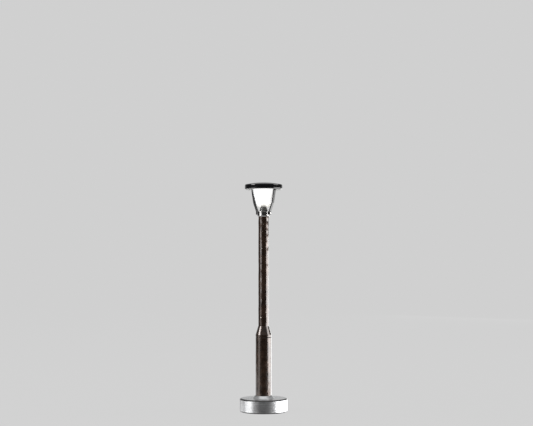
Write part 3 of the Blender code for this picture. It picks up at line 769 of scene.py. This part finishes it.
def strap(side):
    """One arm. Its taper is a quarter of an ellipse, as width against the distance from the foot."""
    node = "support_arm_" + side
    corners = side_points(node)
    centre = (corners[0::2] + corners[1::2]) / 2
    bends = rounded(centre, BEND_REACH, 8, closed=False)
    path = along(bends, PATH_STEP)
    low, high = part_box(node)
    half = (high.y - low.y) / 2
    share = np.clip(travelled(path) / (FOOT_LENGTH * half), 0, 1)
    taper = FOOT_WIDTH + (1 - FOOT_WIDTH) * np.sqrt(1 - (1 - share) ** 2)
    points = np.stack([path[:, 0], np.zeros(len(path)), path[:, 1]], -1)
    section = strip_section(2 * half, ARM_THICKNESS, ARM_EDGE)
    obj = swept(node + "_fine", points, (0.0, 1.0, 0.0), section, taper)
    return fit(obj, arm_black, "lamp", "gloss_black_paint", node)


def rivet(side):
    """One rivet. order swaps x and z, which lays the turned shape over."""
    node = "arm_rivet_" + side
    low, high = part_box(node)
    centre = (0.0, 0.0, (low.z + high.z) / 2)
    return from_solid(node, plate, "lamp", "bright_nickel", 48, 0.06 * MM, centre, (2, 1, 0))


for side in ("right", "left"):
    strap(side)
    rivet(side)
print("arms and rivets:", [name for name, _ in made[-4:]])

# %% [markdown]
# ## The roof
#
# The cap is spun from sheet: a shallow dome, a rounded shoulder, a short skirt and a lip rolled inward.
# Under it are a plate that the arms are peened into and a shallow white reflector.

# %% Roof pieces
from_solid("roof_cap", roof_black_and_lip_glow, "lamp", "gloss_black_paint", 192, 0.06 * MM)
from_solid("roof_reflector", reflector_white, "lamp", "white_paint", 144, 0.03 * MM)
print("roof pieces and their faces:", made[-2:])

# %% [markdown]
# ## Finishes for the solids that stay
#
# The pieces inside the base, the wires and the light-emitting chip are small boxes, plates and thin
# round wires. Their solids already have the right shape, so they only get the finishes.

# %% Finishes on kept solids
KEPT = {
    "contact_board": (board, "circuit_board"),
    "series_resistor": (dark_plastic, "dark_plastic"),
    "rectifier_diode": (dark_plastic, "dark_plastic"),
    "grip_ring": (nickel, "turned_nickel"),
    "feed_wire": (enamel, "enamelled_copper"),
    "return_wire": (enamel, "enamelled_copper"),
    "led_chip": (white_plastic, "white_plastic"),
    "roof_plate": (reflector_white, "white_paint"),
}
for node, (material, slot) in KEPT.items():
    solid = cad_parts[node]
    solid.data.materials.clear()
    solid.data.materials.append(material)
faces = sum(count for _, count in made)
print(len(made), "fine pieces with", faces, "faces, and", len(KEPT), "solids kept")

# %% [markdown]
# ## Camera
#
# The lamp is looked at from nearby, from a height between its base and its lantern, so that the base is
# seen a little from above and the roof a little from below. The camera stands 27 degrees round from
# where both arms would be seen side by side, towards the right one, and is tipped up slightly.

# %% Camera
VIEW_BEARING = math.radians(27)
DISTANCE = 0.23
EYE_HEIGHT = 0.0285
LOOK_HEIGHT = 0.0372
FRAME_WIDTH = 0.1004  # what the picture takes in, across the lamp's axis
ASIDE = 0.00055  # how far the camera stands to the right
SENSOR_WIDTH = 36.0
to_camera = Vector((math.sin(VIEW_BEARING), -math.cos(VIEW_BEARING), 0.0))
to_right = Vector((math.cos(VIEW_BEARING), math.sin(VIEW_BEARING), 0.0))
camera = bpy.data.objects.new("camera", bpy.data.cameras.new("camera"))
bpy.context.scene.collection.objects.link(camera)
camera.location = to_camera * DISTANCE + to_right * ASIDE + Vector((0, 0, EYE_HEIGHT))
tip_up = math.atan((LOOK_HEIGHT - EYE_HEIGHT) / DISTANCE)
camera.rotation_euler = (math.pi / 2 + tip_up, 0, VIEW_BEARING)
camera.data.sensor_width = SENSOR_WIDTH
camera.data.lens = SENSOR_WIDTH * DISTANCE / FRAME_WIDTH
camera.data.clip_start, camera.data.clip_end = 0.01, 20.0
bpy.context.scene.camera = camera
print("lens", round(camera.data.lens, 1), "mm")

# %% [markdown]
# ## Floor and background
#
# One pale sheet serves as floor and background: a flat disc that curves up into a wall all the way
# round, so that no horizon line shows. Its paleness is mostly a soft glow of its own. Mirrors don't see
# it, because shiny metal looks best when it reflects a few soft lights in a dark room.

# %% Floor and background
FLOOR_RADIUS, WALL_HEIGHT, WALL_CURVE = 1.1, 1.2, 0.5
AROUND = 96
corners = [[0.0, 0.0], [FLOOR_RADIUS, 0.0], [FLOOR_RADIUS, WALL_HEIGHT]]
profile = rounded(corners, WALL_CURVE, 24, closed=False)
angle = np.linspace(0, 2 * np.pi, AROUND, endpoint=False)
ring = profile[1:, :1] * np.stack([np.cos(angle), np.sin(angle)])[:, None]
points = np.stack([ring[0], ring[1], profile[1:, 1:] + 0 * angle], -1).reshape(-1, 3)
floor = piece_from(
    "studio_floor",
    np.concatenate([points, [ORIGIN]]),
    [grid_faces(len(profile) - 1, AROUND, False)[:, ::-1], fan(len(points), np.arange(AROUND))],
)
paper = finish(
    "pale_paper", Base_Color=(0.02, 0.02, 0.02, 1), Roughness=1.0, Specular_IOR_Level=0.0,
    Emission_Color=(1, 1, 1, 1), Emission_Strength=0.62,
)
floor.data.materials.append(paper)
floor.visible_glossy = False
floor.visible_shadow = False
print("floor faces:", len(floor.data.polygons))

# %% [markdown]
# ## Light
#
# Soft panels stand round the lamp, all hidden from the camera. What counts for bright metal is where a
# panel is seen in it and how bright it looks there, so each is given by its bearing to the right of the
# camera, its size and its brightness. A panel's power is four times its area times that brightness.

# %% Lights
def area_light(name, place, width, height, brightness):
    """A rectangle of light that the camera doesn't see. It points down until it is turned."""
    light = bpy.data.lights.new(name, "AREA")
    light.shape = "RECTANGLE"
    light.size, light.size_y = width, height
    light.energy = 4 * width * height * brightness
    obj = bpy.data.objects.new(name, light)
    obj.location = place
    obj.visible_camera = False
    bpy.context.scene.collection.objects.link(obj)
    return obj


def panel(name, bearing, distance, width, low, high, brightness):
    """An upright area light that faces the lamp's axis, from the height low to the height high."""
    turn = math.radians(bearing)
    direction = to_camera * math.cos(turn) + to_right * math.sin(turn)
    place = direction * distance + Vector((0, 0, (low + high) / 2))
    obj = area_light(name, place, width, high - low, brightness)
    obj.rotation_euler = (-direction).to_track_quat("-Z", "Y").to_euler()


# Name, bearing in degrees, distance, width, lowest height and highest height in metres, brightness.
PANELS = [
    ("right_panel", 90, 0.30, 0.30, -0.028, 0.042, 6.5),
    ("right_upper", 85, 0.30, 0.20, 0.09, 0.20, 5.0),
    ("right_low", 100, 0.30, 0.36, -0.08, -0.028, 1.8),
    ("right_soft", 46, 0.30, 0.13, -0.08, -0.02, 0.4),
    ("right_back", 142, 0.35, 0.38, -0.07, 0.040, 1.7),
    ("left_panel", -70, 0.25, 0.12, 0.09, 0.21, 10.0),
    ("left_fringe", -68, 0.25, 0.14, -0.02, 0.044, 0.95),
    ("left_upper", -60, 0.26, 0.13, 0.022, 0.044, 2.8),
    ("left_collar", -52, 0.26, 0.20, 0.0445, 0.0535, 0.7),
    ("left_base", -80, 0.25, 0.20, -0.08, -0.02, 1.35),
    ("left_soft", -42, 0.25, 0.14, -0.08, -0.02, 0.3),
    ("left_low", -125, 0.30, 0.20, -0.07, -0.02, 0.7),
    ("front_low", 0, 0.30, 0.30, -0.12, -0.03, 0.05),
]
for row in PANELS:
    panel(*row)
area_light("top_panel", (0, 0, 0.5), 0.5, 0.5, 0.6)
print("lights:", len(bpy.data.lights))

# %% [markdown]
# ## The room
#
# What bright metal doesn't reflect from a panel, it reflects from the room, so the room is the World.
# It is dark at the height of the eye and overhead. It is brighter behind the lamp, which the base's flat
# top mirrors, and a little brighter well above and well below the horizon, for the views from above.
# Each of these is worked out from a ray's direction with a Map Range node or two, and the largest counts.

# %% World
world = bpy.data.worlds.new("dark_room")
world.use_nodes = True
direction = add(world, "TexCoord").outputs["Generated"]
inputs = {0: direction, 1: -to_camera}
behind = add(world, "VectorMath", inputs, operation="DOT_PRODUCT").outputs["Value"]
up = add(world, "SeparateXYZ", {0: direction}).outputs["Z"]
glow_behind = spread(world, behind, 0.6, 0.97, 0.03, 0.6)
above_horizon = spread(world, up, 0.14, 0.35, 0.0, 0.3)
not_overhead = spread(world, up, 0.85, 0.97, 1.0, 0.1)
below_horizon = spread(world, up, -0.45, -0.1, 0.35, 0.0)
belt = combine(world, "MULTIPLY", above_horizon, not_overhead)
strength = combine(world, "MAXIMUM", combine(world, "MAXIMUM", glow_behind, belt), below_horizon)
background = world.node_tree.nodes["Background"]
background.inputs["Color"].default_value = (1, 1, 1, 1)
world.node_tree.links.new(strength, background.inputs["Strength"])
bpy.context.scene.world = world
bpy.context.scene.view_settings.view_transform = "Standard"
print("world nodes:", len(world.node_tree.nodes))
